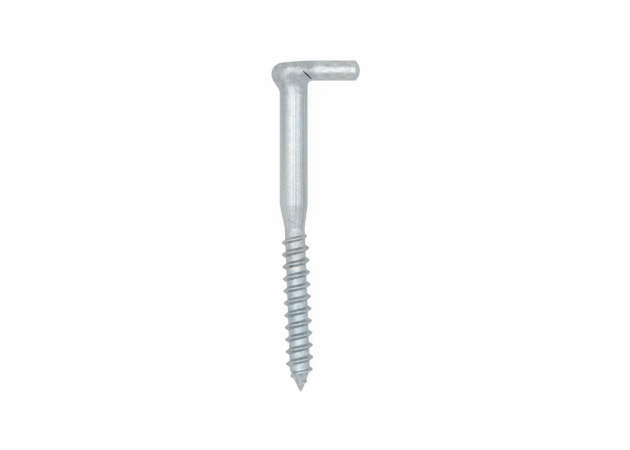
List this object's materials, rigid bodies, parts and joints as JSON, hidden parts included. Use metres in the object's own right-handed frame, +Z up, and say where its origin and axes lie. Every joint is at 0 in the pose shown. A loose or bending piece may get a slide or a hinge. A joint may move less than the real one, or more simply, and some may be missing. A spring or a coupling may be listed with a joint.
{
  "type": "square screw hook",
  "caption": "Forged steel L-shaped screw hook: round arm set square on a bulged knuckle, plain shank and a coarse wood screw with a cone point.",
  "frame": {"origin": "centre of the hook's bounding box, on the surface it lies on", "axes": "+X along the arm towards its free end, falling 7 degrees to the surface; +Y from the screw point to the arm; +Z up, nearly square to the plane of the hook"},
  "size_m": [0.0318, 0.12, 0.0134],
  "materials": {
    "zinc_steel": "bright blue-white zinc plating over forged and rolled steel, lightly mottled, with faint lines along the shank and a dark fold at the inside corner"
  },
  "bodies": {
    "root": {"square_hook": "zinc_steel"}
  },
  "joints": []
}
